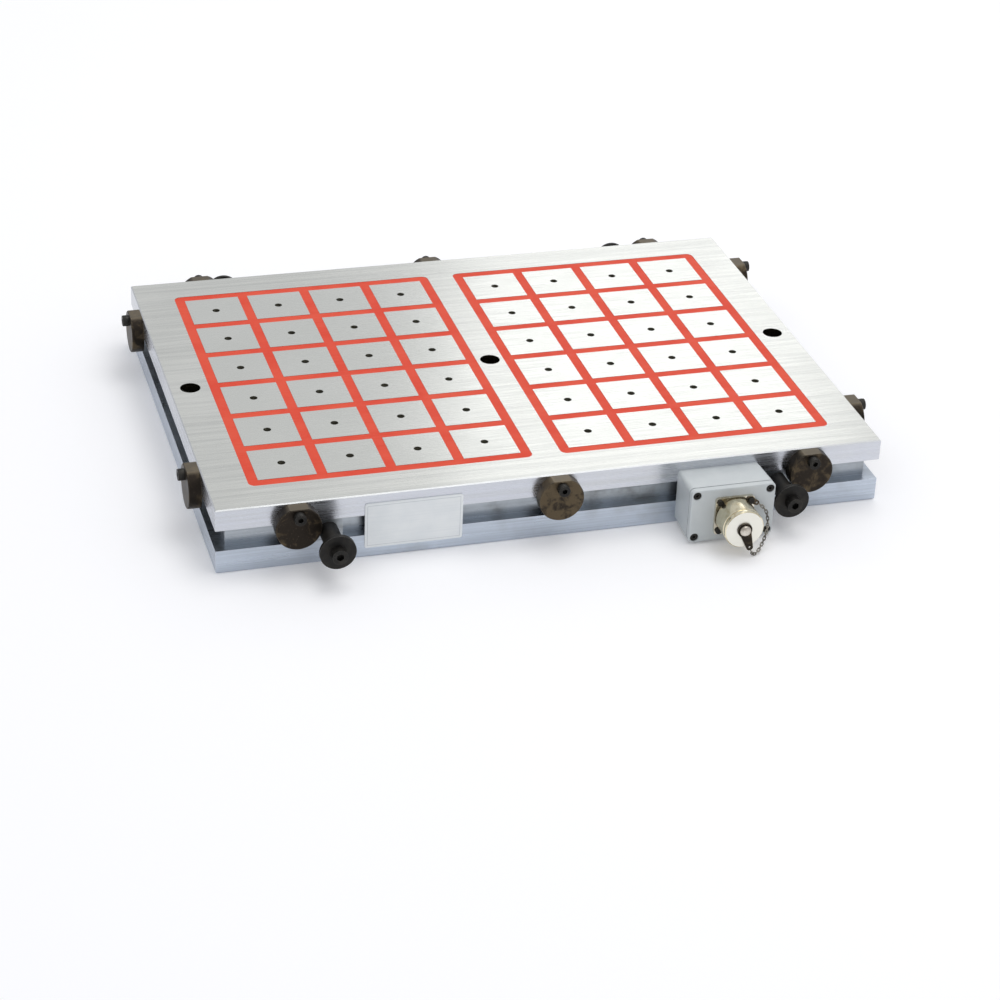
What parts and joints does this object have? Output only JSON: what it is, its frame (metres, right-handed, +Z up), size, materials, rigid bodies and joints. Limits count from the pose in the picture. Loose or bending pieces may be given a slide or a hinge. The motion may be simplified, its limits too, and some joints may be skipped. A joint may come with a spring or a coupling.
{
  "type": "magnetic chuck",
  "caption": "Electro-permanent magnetic chuck: ground steel plate with square poles set in red resin, clamping groove, eccentric side stops, lifting bollards and a capped connector box.",
  "frame": {"origin": "centre of the base plate's underside, on the middle table bolt's axis", "axes": "+Z up out of the ground face, +X to the right along the long side, -Y towards the side with the connector box"},
  "size_m": [0.6194, 0.5463, 0.06],
  "materials": {
    "ground_steel": "surface ground",
    "machined_steel": "milled, oiled",
    "red_resin": "matt epoxy",
    "blackened_steel": "blackened, worn",
    "black_screw": "black oxide",
    "black_bollard": "black oxide, turned",
    "alnico": "cast, ground",
    "copper_coil": "varnished winding",
    "magnet": "coated block",
    "grey_paint": "painted casting",
    "nickel": "nickel plated",
    "rubber_seal": "matt",
    "insulator": "moulded",
    "contact": "plated",
    "dark_strap": "oxidised",
    "bare_label": "satin anodised"
  },
  "bodies": {
    "chuck": {"alnico_cores_left": "alnico", "alnico_cores_right": "alnico", "base_plate": "machined_steel", "body_screws": "black_screw", "bollard_back_left": "black_bollard", "bollard_back_right": "black_bollard", "bollard_front_left": "black_bollard", "bollard_front_right": "black_bollard", "bollard_screws": "black_screw", "cap_chain": "dark_strap", "chain_eye": "dark_strap", "coils_left": "copper_coil", "coils_right": "copper_coil", "column_magnets_left": "magnet", "column_magnets_right": "magnet", "connector_housing": "grey_paint", "connector_insert": "insulator", "connector_pins": "contact", "connector_shell": "nickel", "face_frame": "ground_steel", "flange_screws": "black_screw", "housing_lid": "grey_paint", "housing_screws": "black_screw", "lead_bush": "machined_steel", "lid_gasket": "rubber_seal", "lid_screws": "black_screw", "name_plate": "bare_label", "pole_column_1": "ground_steel", "pole_column_2": "ground_steel", "pole_column_3": "ground_steel", "pole_column_4": "ground_steel", "pole_column_5": "ground_steel", "pole_column_6": "ground_steel", "pole_column_7": "ground_steel", "pole_column_8": "ground_steel", "resin_left": "red_resin", "resin_right": "red_resin", "row_magnets_left": "magnet", "row_magnets_right": "magnet", "side_frame": "machined_steel", "stop_screws": "black_screw"},
    "cap_swivel": {"cap_rivet": "nickel", "cap_lug": "dark_strap"},
    "cap": {"connector_cap": "nickel", "cap_seal": "rubber_seal"},
    "stop_front_left": {"stop_front_left": "blackened_steel"},
    "stop_front_middle": {"stop_front_middle": "blackened_steel"},
    "stop_front_right": {"stop_front_right": "blackened_steel"},
    "stop_back_left": {"stop_back_left": "blackened_steel"},
    "stop_back_middle": {"stop_back_middle": "blackened_steel"},
    "stop_back_right": {"stop_back_right": "blackened_steel"},
    "stop_left_front": {"stop_left_front": "blackened_steel"},
    "stop_left_back": {"stop_left_back": "blackened_steel"},
    "stop_right_front": {"stop_right_front": "blackened_steel"},
    "stop_right_back": {"stop_right_back": "blackened_steel"}
  },
  "joints": [
    {"name": "turn_stop_front_left", "type": "hinge", "parent": "chuck", "child": "stop_front_left", "pos_m": [-0.225, -0.215, 0.0524], "axis": [0, 1, 0], "range_deg": [0, 180]},
    {"name": "turn_stop_front_middle", "type": "hinge", "parent": "chuck", "child": "stop_front_middle", "pos_m": [0, -0.215, 0.0524], "axis": [0, 1, 0], "range_deg": [-180, 180]},
    {"name": "turn_stop_front_right", "type": "hinge", "parent": "chuck", "child": "stop_front_right", "pos_m": [0.225, -0.215, 0.0524], "axis": [0, -1, 0], "range_deg": [0, 180]},
    {"name": "turn_stop_back_left", "type": "hinge", "parent": "chuck", "child": "stop_back_left", "pos_m": [-0.225, 0.215, 0.0524], "axis": [0, 1, 0], "range_deg": [0, 180]},
    {"name": "turn_stop_back_middle", "type": "hinge", "parent": "chuck", "child": "stop_back_middle", "pos_m": [0, 0.215, 0.0524], "axis": [0, 1, 0], "range_deg": [-180, 180]},
    {"name": "turn_stop_back_right", "type": "hinge", "parent": "chuck", "child": "stop_back_right", "pos_m": [0.225, 0.215, 0.0524], "axis": [0, -1, 0], "range_deg": [0, 180]},
    {"name": "turn_stop_left_front", "type": "hinge", "parent": "chuck", "child": "stop_left_front", "pos_m": [-0.2925, -0.137, 0.0524], "axis": [1, 0, 0], "range_deg": [-180, 180]},
    {"name": "turn_stop_left_back", "type": "hinge", "parent": "chuck", "child": "stop_left_back", "pos_m": [-0.2925, 0.158, 0.0524], "axis": [1, 0, 0], "range_deg": [-180, 180]},
    {"name": "turn_stop_right_front", "type": "hinge", "parent": "chuck", "child": "stop_right_front", "pos_m": [0.2925, -0.137, 0.0524], "axis": [1, 0, 0], "range_deg": [-180, 180]},
    {"name": "turn_stop_right_back", "type": "hinge", "parent": "chuck", "child": "stop_right_back", "pos_m": [0.2925, 0.158, 0.0524], "axis": [1, 0, 0], "range_deg": [-180, 180]},
    {"name": "cap_travel", "type": "slide", "parent": "chuck", "child": "cap_swivel", "axis": [0, -1, 0], "range_m": [0, 0.0075]},
    {"name": "cap_turn", "type": "hinge", "parent": "cap_swivel", "child": "cap", "pos_m": [0.1435, -0.2825, 0.027], "axis": [0, -1, 0], "range_deg": [0, 1800]}
  ],
  "couplings": [
    {"joint": "cap_travel", "follows": "cap_turn", "m_per_rad": 0.00023873}
  ]
}
